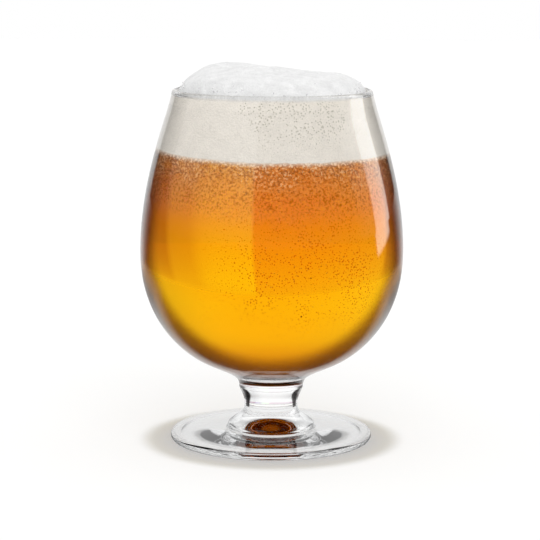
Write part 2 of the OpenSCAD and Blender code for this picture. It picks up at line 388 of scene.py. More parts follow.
class Nodes:
    """A node tree under construction. What goes into a node is a value, or the output of another node."""

    def __init__(self, tree):
        self.tree = tree

    def add(self, kind, inputs=None, **settings):
        """Adds a node with its inputs and settings."""
        node = self.tree.nodes.new(kind)
        for name, value in settings.items():
            setattr(node, name, value)
        for key, value in (inputs or {}).items():
            if isinstance(value, bpy.types.NodeSocket):
                self.tree.links.new(value, node.inputs[key])
            else:
                node.inputs[key].default_value = value
        return node

    def out(self, kind, inputs=None, **settings):
        """Adds a node and gives its first output."""
        return self.add(kind, inputs, **settings).outputs[0]

    def math(self, operation, a, b=0.0):
        """One step of arithmetic."""
        return self.out("ShaderNodeMath", {0: a, 1: b}, operation=operation)

    def plus(self, a, b):
        """A sum."""
        return self.math("ADD", a, b)

    def minus(self, a, b):
        """A difference."""
        return self.math("SUBTRACT", a, b)

    def times(self, *factors):
        """A product."""
        product = factors[0]
        for factor in factors[1:]:
            product = self.math("MULTIPLY", product, factor)
        return product

    def compare(self, operation, a, b):
        """A comparison of two numbers."""
        return self.out("FunctionNodeCompare", {0: a, 1: b}, data_type="FLOAT", operation=operation)

    def spread(self, value, start, end, low=0.0, high=1.0, smooth=False):
        """A number that goes from low to high while a value goes from start to end."""
        kind = "SMOOTHSTEP" if smooth else "LINEAR"
        inputs = {0: value, 1: start, 2: end, 3: low, 4: high}
        return self.out("ShaderNodeMapRange", inputs, interpolation_type=kind)

    def band(self, value, low, high, soft):
        """1 between two values, falling off softly at both."""
        rise = self.spread(value, low - soft, low + soft, smooth=True)
        fall = self.spread(value, high - soft, high + soft, 1.0, 0.0, smooth=True)
        return self.times(rise, fall)

    def pick(self, amount, first, second):
        """A number between two."""
        return self.out("ShaderNodeMix", {0: amount, 2: first, 3: second})

    def blend(self, amount, first, second, kind="MIX"):
        """A colour between two, or one multiplied by the other."""
        inputs = {0: amount}
        for key, end in ((6, first), (7, second)):
            inputs[key] = end if isinstance(end, bpy.types.NodeSocket) else (*end, 1.0)
        return self.add("ShaderNodeMix", inputs, data_type="RGBA", blend_type=kind).outputs[2]

    def colours(self, along, stops):
        """A colour between stops of (place, colour), whose first place is 0 and whose last is 1."""
        node = self.add("ShaderNodeValToRGB", {0: along})
        elements = node.color_ramp.elements
        elements[0].color = (*stops[0][1], 1.0)
        elements[1].color = (*stops[-1][1], 1.0)
        for at, shade in stops[1:-1]:
            elements.new(at).color = (*shade, 1.0)
        return node.outputs[0]

    def place(self):
        """Where a point lies on the piece."""
        return self.add("ShaderNodeTexCoord").outputs["Object"]

    def part(self, place, axis):
        """A place's distance along x, y or z."""
        return self.add("ShaderNodeSeparateXYZ", {0: place}).outputs["xyz".index(axis)]

    def distance(self, place, other):
        """How far a place is from another."""
        inputs = {0: place, 1: other}
        return self.add("ShaderNodeVectorMath", inputs, operation="DISTANCE").outputs["Value"]

    def noise(self, place, scale, detail=2.0, roughness=0.5):
        """Soft noise between 0 and 1."""
        inputs = {"Vector": place, "Scale": scale, "Detail": detail, "Roughness": roughness}
        return self.out("ShaderNodeTexNoise", inputs)

    def cells(self, place, scale):
        """How far a place is from the middle of its cell, in a froth of cells."""
        inputs = {"Vector": place, "Scale": scale}
        return self.add("ShaderNodeTexVoronoi", inputs, feature="F1").outputs["Distance"]

    def bump(self, height, strength, depth):
        """The relief that a height gives to a surface."""
        inputs = {"Height": height, "Strength": strength, "Distance": depth}
        return self.out("ShaderNodeBump", inputs)

    def surface(self, inputs):
        """A surface with these inputs."""
        return self.out("ShaderNodeBsdfPrincipled", inputs)

    def finish(self, surface, **others):
        """Ends a material."""
        self.add("ShaderNodeOutputMaterial", {"Surface": surface, **others})


def new_material(name, slot_colour):
    """An empty material and its nodes."""
    material = bpy.data.materials.new(name)
    material.use_nodes = True
    material.diffuse_color = (*slot_colour, 1.0)
    material.node_tree.nodes.clear()
    return material, Nodes(material.node_tree)


def new_tree(name, inputs, output):
    """An empty Geometry Nodes tree with its inputs, the nodes in it and what those inputs give."""
    tree = bpy.data.node_groups.new(name, "GeometryNodeTree")
    for key, kind in inputs:
        tree.interface.new_socket(key, in_out="INPUT", socket_type="NodeSocket" + kind)
    tree.interface.new_socket(output, in_out="OUTPUT", socket_type="NodeSocketGeometry")
    n = Nodes(tree)
    return tree, n, n.add("NodeGroupInput").outputs


def turning_tree():
    """A tree that turns an outline about +Z. Two stretches along it can have finishes of their own."""
    inputs = [("Outline", "Geometry"), ("Sides", "Int"), ("Finish", "Material")]
    for stretch in ("Wetted", "Fused"):
        inputs.append((f"{stretch} finish", "Material"))
        inputs += [(f"{stretch} {end}", "Float") for end in ("from", "to")]
    tree, n, given = new_tree("Turn an outline", inputs, "Turned")
    size = n.add("GeometryNodeAttributeDomainSize", {0: given["Outline"]}, component="MESH").outputs
    count = size["Point Count"]
    columns = n.plus(given["Sides"], 1.0)
    grid = n.add("GeometryNodeMeshGrid", {"Vertices X": columns, "Vertices Y": count}).outputs["Mesh"]
    index = n.out("GeometryNodeInputIndex")
    column = n.math("FLOOR", n.math("DIVIDE", n.plus(index, 0.5), count))
    row = n.minus(index, n.times(column, count))
    place = n.out("GeometryNodeInputPosition")
    sample = n.out(
        "GeometryNodeSampleIndex",
        {"Geometry": given["Outline"], "Value": place, "Index": row},
        data_type="FLOAT_VECTOR",
        domain="POINT",
    )
    radius = n.part(sample, "x")
    turn = n.math("DIVIDE", n.times(column, 2 * math.pi), given["Sides"])
    x = n.times(radius, n.math("COSINE", turn))
    y = n.times(radius, n.math("SINE", turn))
    turned_place = n.out("ShaderNodeCombineXYZ", {0: x, 1: y, 2: n.part(sample, "z")})
    named = {"Geometry": grid, "Name": "along", "Value": row}
    marked = n.out("GeometryNodeStoreNamedAttribute", named, data_type="FLOAT")
    placed = n.out("GeometryNodeSetPosition", {"Geometry": marked, "Position": turned_place})
    closed = n.out("GeometryNodeMergeByDistance", {"Geometry": placed, "Distance": JOINED})
    shape = n.out("GeometryNodeSetShadeSmooth", {"Geometry": closed})
    shape = n.out("GeometryNodeRealizeInstances", {0: shape})
    shape = n.out("GeometryNodeSetMaterial", {"Geometry": shape, "Material": given["Finish"]})
    along = n.out("GeometryNodeInputNamedAttribute", {"Name": "along"}, data_type="FLOAT")
    for stretch in ("Wetted", "Fused"):
        after = n.compare("GREATER_THAN", along, given[f"{stretch} from"])
        before = n.compare("LESS_THAN", along, given[f"{stretch} to"])
        both = n.out("FunctionNodeBooleanMath", {0: after, 1: before}, operation="AND")
        chosen = {"Geometry": shape, "Selection": both, "Material": given[f"{stretch} finish"]}
        shape = n.out("GeometryNodeSetMaterial", chosen)
    n.add("NodeGroupOutput", {0: shape})
    return tree


def input_key(tree, name):
    """The identifier of a tree's input."""
    return next(s.identifier for s in tree.interface.items_tree if s.in_out == "INPUT" and s.name == name)


def new_mesh(name, points, faces, edges=()):
    """A new mesh from points, and from faces or edges between them."""
    mesh = bpy.data.meshes.new(name)
    mesh.from_pydata(np.asarray(points).tolist(), edges, faces)
    return mesh


def new_object(name, data):
    """A new object in the scene."""
    thing = bpy.data.objects.new(name, data)
    bpy.context.scene.collection.objects.link(thing)
    return thing


def made_by_tree(name, mesh, tree, inputs):
    """A new object whose plain mesh is what the tree makes of the given one."""
    thing = new_object(name, mesh)
    modifier = thing.modifiers.new(tree.name, "NODES")
    modifier.node_group = tree
    for key, value in inputs.items():
        modifier[input_key(tree, key)] = value
    view_layer = bpy.context.evaluated_depsgraph_get()
    result = bpy.data.meshes.new_from_object(thing.evaluated_get(view_layer))
    thing.modifiers.remove(modifier)
    thing.data = result
    result.name = name
    return thing


def turned(name, outline, tree, finish, wetted=None, fused=None):
    """A piece turned from an outline. Wetted and fused give a finish and the stretch that has it."""
    edges = [(i, i + 1) for i in range(len(outline) - 1)]
    mesh = new_mesh(name + "_outline", [(r, 0.0, h) for r, h in outline], [], edges)
    inputs = {"Sides": bpy.context.scene.beer_glass.sides, "Finish": finish}
    for stretch, given in (("Wetted", wetted), ("Fused", fused)):
        material, start, end = given or (finish, 0.0, 0.0)
        inputs.update({f"{stretch} finish": material, f"{stretch} from": start, f"{stretch} to": end})
    piece = made_by_tree(name, mesh, tree, inputs)
    point_out(piece.data)
    piece.data.set_sharp_from_angle(angle=math.radians(30))
    return piece


def point_out(mesh):
    """Turns a closed mesh's faces outwards."""
    work = bmesh.new()
    work.from_mesh(mesh)
    bmesh.ops.recalc_face_normals(work, faces=work.faces)
    work.to_mesh(mesh)
    work.free()


def settle(piece, slot, *nodes):
    """Puts a finished piece on the part's body, in place of the solids it stands for."""
    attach(piece, BODY)
    if nodes:
        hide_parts(*nodes)


# Finishes

WHITE = (1.0, 1.0, 1.0)
# How strongly glass and the drink bend light
GLASS_IOR = 1.5
DRINK_IOR = 1.34
# What glass and beer leave of the light that foam or floor gets through them
GLASS_SHADE = (0.95, 0.95, 0.95, 1.0)
BEER_SHADE = (0.50, 0.51, 0.53, 1.0)
# How far a surface turns away where its painted edge shade sets in and where it is full, on glass and on
# beer
GLASS_EDGE_SHADE_REACH = (0.35, 0.8)
BEER_EDGE_SHADE_REACH = (0.25, 0.33)
# Painted shade at the beer's edge: the colour that light through the beer darkens to there
BEER_EDGE_SHADE = (0.45, 0.35, 0.5)
# Painted shade on the stem: its dark strips, as a lens shows them, by how far its surface turns away, and
# where they have faded on either side
STEM_PAINTED_STRIP = ((0.47, (0.002, 0.0015, 0.0015)), (0.67, (0.003, 0.002, 0.002)))
STEM_CLEAR = (0.42, 0.72)
# Painted light and shade through the beer by height: its colour is dark at its floor, palest a third of the
# way up and darker again at the top
BEER_FLOOR_H = 27 * MM
BEER_PAINTED_SHADE = (
    (0.0, (0.5, 0.18, 0.4)), (0.015, (0.5, 0.18, 0.4)), (0.03, (0.85, 0.30, 0.6)), (0.05, (0.88, 0.37, 0.7)),
    (0.10, (0.88, 0.44, 0.9)), (0.16, (0.96, 0.60, 1.0)), (0.22, (1.0, 0.85, 1.0)), (0.38, (1.0, 0.97, 1.0)),
    (0.55, (1.0, 0.78, 1.0)), (0.66, (0.98, 0.64, 1.0)), (0.76, (0.92, 0.52, 1.0)),
    (0.85, (0.76, 0.36, 1.0)), (1.0, (0.45, 0.16, 1.0)),
)
# Cells of the finest bubbles to a metre, and the largest reach of a bubble in its cell, in beer and in foam
BUBBLE_CELLS = 1150.0
BEER_BUBBLE = 0.28
FOAM_BUBBLE = 0.3
# Middle of the swarm of fine bubbles inside the front of the glass, where it thins out, and the heights
# over which it sets in
SWARM = (17 * MM, -42 * MM, 69 * MM)
SWARM_REACH = (25 * MM, 64 * MM)
SWARM_LOW = (31 * MM, 58 * MM)
# The same for the patch of open bubbles in the foam, behind the front of the glass
OPEN_PATCH = (7 * MM, -38 * MM, 121 * MM)
OPEN_REACH = (8 * MM, 22 * MM)
OPEN_LOW = (111 * MM, 118 * MM)
# Colours of the painted shade of a fine bubble in the beer and of an open one in the foam, and of the grains
# of the mist
BEER_DOT_SHADE = (0.35, 0.08, 0.05)
FOAM_PIT_SHADE = (0.60, 0.56, 0.46)
MIST_DARK = (0.34, 0.15, 0.05)
MIST_PALE = (0.95, 0.66, 0.40)
# How far below the head the thin mist and the thick mist start, and how far up the thick one is complete
THIN_MIST = 24 * MM
THICK_MIST = 2.2 * MM
THICK_MIST_UP = 1.0 * MM
# Where on its left the head's lower edge is lifted in full
LIFTED_X = -42 * MM
# How far below the rim the creamy foam starts to turn to airy froth, and where it has
FROTH_FROM = 2.6 * MM
FROTH_TO = 1.0 * MM
# Depth of the foam's grain and folds
GRAIN_DEPTH = 0.35 * MM


def clear_to_lamps(n, surface, light):
    """The surface, open to light from the lamps and to light that foam or floor scatters."""
    ray = n.add("ShaderNodeLightPath").outputs
    for kind in ("Is Diffuse Ray", "Is Shadow Ray"):
        open_way = n.out("ShaderNodeBsdfTransparent", {"Color": light})
        surface = n.out("ShaderNodeMixShader", {0: ray[kind], 1: surface, 2: open_way})
    return surface


def turned_away(n):
    """How far a surface turns away from the line of sight, from 0 to 1."""
    return n.add("ShaderNodeLayerWeight", {"Blend": 0.5}).outputs["Facing"]


def painted_edge_shade(n, middle, edge, reach):
    """Painted edge shade: a colour that changes where a surface turns away, as glass and drink do in front
    of white.
    """
    return n.blend(n.spread(turned_away(n), *reach, smooth=True), middle, edge)


def stem_painted_strips(n, tint):
    """The colour of a solid stem: clear in its middle, with a painted dark strip of shade near either edge,
    as in a lens.
    """
    inner, outer = STEM_CLEAR
    stops = ((0.0, tint), (inner, tint), *STEM_PAINTED_STRIP, (outer, tint), (1.0, tint))
    return n.colours(turned_away(n), stops)


def glass_finish(name, ior, tint, edge, wave):
    """Clear glass with faint waves and painted shade where it is seen along its face, or painted dark strips
    if no edge shade is given.
    """
    material, n = new_material(name, tint)
    waves = n.noise(n.place(), 90.0, 1.0, 0.4)
    # Painted shade in the base colour: darker where the glass turns away, or the stem's dark strips
    glass = n.surface({
        "Base Color": painted_edge_shade(n, tint, edge, GLASS_EDGE_SHADE_REACH) if edge else stem_painted_strips(n, tint),
        "Roughness": 0.0,
        "IOR": ior,
        "Transmission Weight": 1.0,
        "Normal": n.bump(waves, 1.0, wave),
    })
    n.finish(clear_to_lamps(n, glass, GLASS_SHADE))
    return material


def fused_finish():
    """The join inside two pieces of glass that are fused, which light crosses as if it weren't there."""
    material, n = new_material("Fused join", WHITE)
    n.finish(n.out("ShaderNodeBsdfTransparent"))
    return material


def fine_bubbles(n, place, height):
    """Where the finest bubbles cling inside the glass: a swarm on its front, which thins out all round."""
    swarm = n.spread(n.distance(place, SWARM), *SWARM_REACH, 1.0, 0.0)
    low = n.spread(height, *SWARM_LOW)
    here = n.spread(n.noise(place, 70.0, 3.0), 0.36, 0.58, 0.6, 1.0)
    reach = n.times(n.times(swarm, low), n.times(here, BEER_BUBBLE))
    return n.math("LESS_THAN", n.cells(place, BUBBLE_CELLS), reach)


def foam_mist(n, d, place, height):
    """How much of the beer the mist of froth under the head hides, and the mist's colour."""
    left = n.spread(n.part(place, "x"), 0.0, LIFTED_X)
    border = n.minus(height, n.times(left, left, d.lift))
    patch = n.spread(n.noise(place, 110.0, 4.0, 0.6), 0.35, 0.65, 0.5, 1.5)
    grain = n.spread(n.noise(place, 1200.0, 2.0, 0.7), 0.38, 0.62)
    swing = n.minus(n.times(grain, 2.0), 1.0)
    far = n.spread(border, BEER_H - THIN_MIST, BEER_H)
    far = n.times(far, far, patch)
    near = n.spread(border, BEER_H - THICK_MIST, BEER_H + THICK_MIST_UP, smooth=True)
    fuzz = n.times(near, n.minus(1.0, near), 1.2)
    thin = n.times(far, n.plus(n.times(n.math("ABSOLUTE", swing), 0.5), 0.06))
    mist = n.plus(n.plus(n.times(near, 0.95), thin), n.times(swing, fuzz))
    mist = n.math("MAXIMUM", n.math("MINIMUM", mist, 0.97), 0.0)
    return mist, n.blend(near, n.blend(grain, MIST_DARK, MIST_PALE), d.cream)


def beer_finish(d):
    """Clear amber beer, its bubbles and mist, with painted shade by height and at its edges. The wet side of
    the glass bends light, so the beer doesn't.
    """
    material, n = new_material("Amber beer", (0.86, 0.40, 0.03))
    place = n.place()
    height = n.part(place, "z")
    # Painted shade in the beer's colour: by height, and darker and redder at its edges
    painted_height_shade = n.colours(n.spread(height, BEER_FLOOR_H, BEER_H), BEER_PAINTED_SHADE)
    tint = n.blend(1.0, painted_height_shade, painted_edge_shade(n, WHITE, BEER_EDGE_SHADE, BEER_EDGE_SHADE_REACH), "MULTIPLY")
    # The finest bubbles are painted as dark dots, painted shade where light turns away from them
    dots = n.blend(fine_bubbles(n, place, height), WHITE, BEER_DOT_SHADE)
    tint = n.blend(1.0, tint, dots, "MULTIPLY")
    mist, mist_colour = foam_mist(n, d, place, height)
    misty = n.math("MINIMUM", n.times(mist, 15.0), 1.0)
    beer = n.surface({
        "Base Color": n.blend(misty, tint, mist_colour),
        "Roughness": 0.0,
        "IOR": 1.0,
        "Transmission Weight": n.minus(1.0, mist),
    })
    depth = {"Color": (*d.amber, 1.0), "Density": d.depth_of_amber}
    amber = n.out("ShaderNodeVolumeAbsorption", depth)
    n.finish(clear_to_lamps(n, beer, BEER_SHADE), Volume=amber)
    return material


def foam_finish(d):
    """Dense creamy foam against the glass, with painted shade in its open bubbles, and an airy crown with a
    fine grain.
    """
    material, n = new_material("Beer foam", d.cream)
    place = n.place()
    height = n.part(place, "z")
    froth = n.spread(height, RIM_H - FROTH_FROM, RIM_H - FROTH_TO)
    near = n.spread(n.distance(place, OPEN_PATCH), *OPEN_REACH, 0.24, 0.0)
    reach = n.spread(n.plus(n.noise(place, 45.0), near), 0.5, 0.7, 0.0, FOAM_BUBBLE)
    reach = n.times(reach, n.minus(1.0, froth), n.spread(height, *OPEN_LOW, 0.45, 1.0))
    # Open bubbles are painted darker, painted shade in their hollows
    painted_pit_shade = n.math("LESS_THAN", n.cells(place, BUBBLE_CELLS), reach)
    grain = n.cells(place, 1500.0)
    folds = n.noise(place, 220.0, 4.0, 0.6)
    shade = n.spread(grain, 0.0, 0.9, 1.0, 0.9)
    tone = n.spread(folds, 0.3, 0.7, n.spread(froth, 0.0, 1.0, 0.97, 0.87), 1.05)
    pitted = n.blend(painted_pit_shade, n.blend(froth, d.cream, d.froth), FOAM_PIT_SHADE)
    shaded = n.out("ShaderNodeVectorMath", {0: pitted, 3: n.times(shade, tone)}, operation="SCALE")
    relief = n.bump(n.plus(n.times(grain, 0.6), folds), 0.7, GRAIN_DEPTH)
    n.finish(n.surface({"Base Color": shaded, "Roughness": 0.45, "Normal": relief}))
    return material


def bubble_finish(name, slot_colour, scale, dark, pale, gloss):
    """Skins of bubbles, a little uneven in colour. Gloss holds what else their surface has."""
    material, n = new_material(name, slot_colour)
    n.finish(n.surface({"Base Color": n.blend(n.noise(n.place(), scale), dark, pale), **gloss}))
    return material


# Pieces

# Rings of the foam under it, up its side and over its crown, and those of the crown without bubbles
UNDER_RINGS = 8
SIDE_RINGS = 40
CROWN_RINGS = 110
BARE_RINGS = 14
# Waves of the foam's lower edge: how high each set is, and how many there are
EDGE_WAVES = ((1.0, 3.0), (0.6, 14.0), (0.5, 60.0))
# Folds of the crown: how strong each set is, its waves to a millimetre, and where its noise is cut
CROWN_FOLDS = ((1.0, 0.16, 3.0), (0.5, 0.5, 9.0), (0.25, 1.4, 5.0))
# The bubbles on the glass: how far in they lie, how far below the foam they reach, and between which turns
# from the front they lie, in degrees
BUBBLE_GAP = 0.45 * MM
BUBBLE_DEPTH = 64 * MM
FRONT_TURNS = (-12, 60)
BACK_TURNS = (164, 196)
# Between which heights the bubbles on the crown get denser, downwards
CROWN_HEIGHTS = (RIM_H + 4 * MM, RIM_H - 2 * MM)
# Smallest and largest radius of a bubble on the glass, and of one on the crown
FINE_BUBBLE = (0.08 * MM, 0.2 * MM)
CROWN_BUBBLE = (0.2 * MM, 0.5 * MM)


class BEERGLASS_OT_glass(bpy.types.Operator):
    """Makes the bowl, the stem and the foot"""

    bl_idname = "beer_glass.glass"
    bl_label = "Glass"

    def execute(self, context):
        g = context.scene.beer_glass
        tree = turning_tree()
        glass = glass_finish("Clear glass", GLASS_IOR, g.tint, g.edge_shade, g.wave)
        wetted = glass_finish("Wetted glass", GLASS_IOR / DRINK_IOR, WHITE, WHITE, 0.0)
        fused = fused_finish()

        outline = bowl_outline(g)
        rim = int(np.argmax(outline[:, 1]))
        wet_from = len(outline) - int(np.sum(outline[rim:, 1] < RIM_H - g.dry))
        bowl = turned(
            "bowl_shell", outline, tree, glass,
            wetted=(wetted, wet_from - 0.5, len(outline)),
            fused=(fused, 0.0, 0.9),
        )
        settle(bowl, "bowl_glass", "bowl")

        outline = stem_outline(g)
        striped = glass_finish("Stem glass", GLASS_IOR, g.tint, None, 0.2 * g.wave)
        stem = turned(
            "stem_waist", outline, tree, striped,
            wetted=(fused, len(outline) - 1.9, len(outline)),
            fused=(fused, 0.0, 0.9),
        )
        settle(stem, "stem_glass", "stem")

        outline = foot_outline(g)
        foot = turned("foot_disc", outline, tree, glass, fused=(fused, len(outline) - 1.9, len(outline)))
        settle(foot, "foot_glass", "foot")
        return {"FINISHED"}


def drink_skin(g, gap, low, high):
    """Outline of the drink's side between two heights, a gap inside the glass."""
    skin = skin_inside(g, gap)
    keep = skin[(skin[:, 1] > low) & (skin[:, 1] < high)]
    return np.vstack([keep, [point(radius_at(skin, high), high)]])


class BEERGLASS_OT_beer(bpy.types.Operator):
    """Makes the beer"""

    bl_idname = "beer_glass.beer"
    bl_label = "Beer"

    def execute(self, context):
        g, d = context.scene.beer_glass, context.scene.beer_drink
        top = BEER_H + d.overlap
        outline = np.vstack([drink_skin(g, d.film, 0.0, top), [point(0, top)]])
        beer = turned("beer_fill", outline, turning_tree(), beer_finish(d))
        settle(beer, "beer", "beer")
        return {"FINISHED"}


def ring_points(r, h, turn):
    """Points of a ring round the axis. Radius and height are numbers, or hold one for each turn."""
    return np.stack([r * np.cos(turn), r * np.sin(turn), np.broadcast_to(h, turn.shape)], 1)


def wander(turn, waves):
    """A smooth uneven line round the axis, between -1 and 1."""
    return np.array([noise.noise(Vector((waves * math.cos(t), waves * math.sin(t), waves))) for t in turn])


def closed_rings(rings, low, high):
    """Points and faces of a closed mesh through rings, from a middle point under them to one over them."""
    sides, last = len(rings[0]), len(rings) - 1
    points = np.vstack([*rings, [low], [high]])
    under, over = len(points) - 2, len(points) - 1
    faces = []
    for k in range(sides):
        j = (k + 1) % sides
        faces.append((under, j, k))
        faces.append((over, last * sides + k, last * sides + j))
        for i in range(last):
            faces.append((i * sides + k, i * sides + j, (i + 1) * sides + j, (i + 1) * sides + k))
    return points, faces


def foam_rings(g, d):
    """Rings of the foam, from its underside up the glass and over the crown, and its two middle points."""
    bead_r = g.mouth_wall / 2 + g.bead_out
    edge_h = RIM_H - 2 * bead_r
    turn = 2 * math.pi * np.arange(2 * g.sides) / (2 * g.sides)
    skin = skin_inside(g, d.foam_film)
    uneven = sum(height * wander(turn, waves) for height, waves in EDGE_WAVES)
    low = BEER_H + d.lift * np.clip(-np.cos(turn), 0, 1) ** 2 + d.ragged * uneven
    rings = []
    for reach in np.linspace(0.1, 0.98, UNDER_RINGS):
        rings.append(ring_points(reach * radius_at(skin, low), low, turn))
    for way_up in np.linspace(0.0, 1.0, SIDE_RINGS):
        h = low + way_up * (edge_h - low)
        rings.append(ring_points(radius_at(skin, h), h, turn))
    crown_r = g.mouth_r - bead_r - d.foam_film
    for reach in np.sin(math.pi / 2 * np.linspace(1.0, 0.01, CROWN_RINGS)):
        ring = ring_points(crown_r * reach, edge_h + crown_rise(d, edge_h, reach, turn), turn)
        ring[:, 2] += crown_pucker(d, ring) * min(1.0, 6 * (1 - reach))
        rings.append(ring)
    top = np.array([[0.0, 0.0, edge_h + crown_rise(d, edge_h, 0.0, 0.0)]])
    top[:, 2] += crown_pucker(d, top)
    return rings, (0.0, 0.0, BEER_H), top[0]


def crown_pucker(d, places):
    """How much the small folds lift the crown."""
    rise = []
    for place in places:
        x, y = place[0] / MM, place[1] / MM
        folds = sum(k * noise.noise(Vector((waves * x, waves * y, cut))) for k, waves, cut in CROWN_FOLDS)
        rise.append(d.pucker * folds)
    return np.array(rise)


class BEERGLASS_OT_foam(bpy.types.Operator):
    """Makes the head of foam"""

    bl_idname = "beer_glass.foam"
    bl_label = "Foam"

    def execute(self, context):
        g, d = context.scene.beer_glass, context.scene.beer_drink
        points, faces = closed_rings(*foam_rings(g, d))
        mesh = new_mesh("foam", points, faces)
        point_out(mesh)
        mesh.shade_smooth()
        mesh.set_sharp_from_angle(angle=math.radians(60))
        mesh.materials.append(foam_finish(d))
        settle(new_object("foam", mesh), "foam", "foam_head")
        return {"FINISHED"}


def ring_surface(name, rings, closed):
    """A mesh through rings of points, for bubbles to lie on. A closed one goes all the way round."""
    sides = len(rings[0])
    faces = [
        (i * sides + k, i * sides + (k + 1) % sides, (i + 1) * sides + (k + 1) % sides, (i + 1) * sides + k)
        for i in range(len(rings) - 1)
        for k in range(sides if closed else sides - 1)
    ]
    return new_mesh(name, np.vstack(rings), faces)


def drink_side(g, low, high, start, end):
    """A mesh along the drink's side, between two heights and two turns in degrees from the front."""
    skin = skin_inside(g, BUBBLE_GAP)
    turn = np.radians(np.linspace(start, end, 1 + abs(end - start) // 4) - 90)
    heights = np.linspace(low, high, 24)
    rings = [ring_points(radius_at(skin, h), h, turn) for h in heights]
    return ring_surface("drink_side", rings, closed=False)


def scatter_tree():
    """A tree that scatters round bubbles over a surface, closer together towards one height."""
    sizes = [(name, "Float") for name in ("Density", "Thin", "Dense", "Clump", "Smallest", "Largest")]
    inputs = [("Surface", "Geometry"), *sizes, ("Seed", "Int"), ("Finish", "Material")]
    tree, n, given = new_tree("Scatter bubbles", inputs, "Bubbles")
    place = n.out("GeometryNodeInputPosition")
    crowding = n.math("POWER", n.spread(n.part(place, "z"), given["Thin"], given["Dense"]), 2.0)
    clumps = n.spread(n.noise(place, given["Clump"], 3.0), 0.42, 0.62, 0.1, 1.0)
    points = n.add(
        "GeometryNodeDistributePointsOnFaces",
        {
            "Mesh": given["Surface"],
            "Density": n.times(crowding, clumps, given["Density"]),
            "Seed": given["Seed"],
        },
        distribute_method="RANDOM",
    ).outputs["Points"]
    ball = n.add("GeometryNodeMeshIcoSphere", {"Radius": 1.0, "Subdivisions": 1}).outputs["Mesh"]
    ball = n.out("GeometryNodeSetShadeSmooth", {"Geometry": ball})
    between = {2: given["Smallest"], 3: given["Largest"], "Seed": given["Seed"]}
    size = n.add("FunctionNodeRandomValue", between, data_type="FLOAT").outputs[1]
    spots = {"Points": points, "Instance": ball, "Scale": size}
    bubbles = n.out("GeometryNodeInstanceOnPoints", spots)
    bubbles = n.out("GeometryNodeRealizeInstances", {0: bubbles})
    finished = {"Geometry": bubbles, "Material": given["Finish"]}
    n.add("NodeGroupOutput", {0: n.out("GeometryNodeSetMaterial", finished)})
    return tree


class BEERGLASS_OT_bubbles(bpy.types.Operator):
    """Scatters the bubbles in the beer, under the foam and on its crown"""

    bl_idname = "beer_glass.bubbles"
    bl_label = "Bubbles"

    def execute(self, context):
        g, d = context.scene.beer_glass, context.scene.beer_drink
        tree = scatter_tree()
        # Bubbles in the beer look dark at their edges, because light from the beer can't enter them there
        dark, pale = (0.62, 0.24, 0.03), (0.95, 0.55, 0.10)
        gas = bubble_finish("Beer bubbles", (0.6, 0.3, 0.05), 300.0, dark, pale, {"Roughness": 0.15})
        # Those on the crown are thin skins, which show by their gloss
        skin = {"Roughness": 0.3, "Alpha": 0.45}
        clear = bubble_finish("Clear bubbles", (0.95, 0.95, 0.95), 400.0, (0.92, 0.92, 0.93), WHITE, skin)
        low, top = BEER_H - BUBBLE_DEPTH, BEER_H
        front = drink_side(g, low, top, *FRONT_TURNS)
        back = drink_side(g, low, top, *BACK_TURNS)
        rings = foam_rings(g, d)[0][UNDER_RINGS + SIDE_RINGS + BARE_RINGS:]
        crown = ring_surface("crown_surface", rings, closed=True)
        for name, surface, density, thin, dense, clump, size, finish, slot in (
            ("front_bubbles", front, 1.2e6, low, top, 70.0, FINE_BUBBLE, gas, "beer"),
            ("back_bubbles", back, 6.0e5, low, top, 70.0, FINE_BUBBLE, gas, "beer"),
            ("crown_bubbles", crown, 9.0e5, *CROWN_HEIGHTS, 260.0, CROWN_BUBBLE, clear, "foam"),
        ):
            inputs = {"Density": density, "Thin": thin, "Dense": dense, "Clump": clump, "Seed": d.seed}
            inputs.update({"Smallest": size[0], "Largest": size[1], "Finish": finish})
            settle(made_by_tree(name, surface, tree, inputs), slot)
        return {"FINISHED"}


# Studio

# Angles are in degrees. An azimuth in the world is 0 at the front, one on the floor is 0 behind the glass,
# both grow to the right, and a rise is measured from the horizon. Distances on the floor are in metres.

# Strength of the bright strip that gloss shows on the right, and of the light that it finds everywhere
STRIP = 3.2
STRAY = 0.03
# Colour of the floor, and of the painted light and shade in soft panes that the drink shows on it, by
# azimuth as far as they reach
PAPER = (0.86, 0.86, 0.855)
PANE_REACH = 40.0
PAINTED_PANE_EDGE = (0.56, 0.39, 0.5)
PAINTED_PANES = (
    (-PANE_REACH, PAINTED_PANE_EDGE), (-33.0, PAINTED_PANE_EDGE), (-30.0, (0.93, 0.82, 0.9)), (2.6, (0.97, 0.82, 0.9)),
    (3.2, (1.07, 1.30, 1.0)), (9.0, (1.04, 1.22, 1.0)), (12.5, (0.98, 1.08, 1.0)), (16.0, (0.82, 0.78, 0.9)),
    (23.0, (0.76, 0.68, 0.9)), (26.0, PAINTED_PANE_EDGE), (PANE_REACH, PAINTED_PANE_EDGE),
)


def studio_gloss(n, azimuth, rise):
    """What gloss shows: a soft panel on the left, a bright strip and its veil on the right, white behind."""
    left = n.times(n.band(azimuth, -112, -16, 0.6), n.band(rise, -12, 75, 4.0), 0.88)
    left = n.times(left, n.spread(rise, 0.5, 24.0))
    slanted = n.plus(azimuth, n.times(rise, 0.3))
    sharp, soft = n.band(slanted, 103, 126, 1.5), n.band(slanted, 102, 130, 6.0)
    strip = n.times(n.pick(n.spread(rise, 8.0, 22.0), sharp, soft), STRIP)
    veil = n.times(n.band(slanted, 86, 130, 10), n.spread(rise, 0.0, 20.0, 0.15, 1.0))
    right = n.times(n.plus(strip, veil), n.band(rise, -10, 60, 1.5))
    behind = n.minus(1.0, n.band(azimuth, -146, 150, 3.0))
    return n.plus(n.math("MINIMUM", n.plus(n.plus(left, behind), STRAY), 1.0), right)


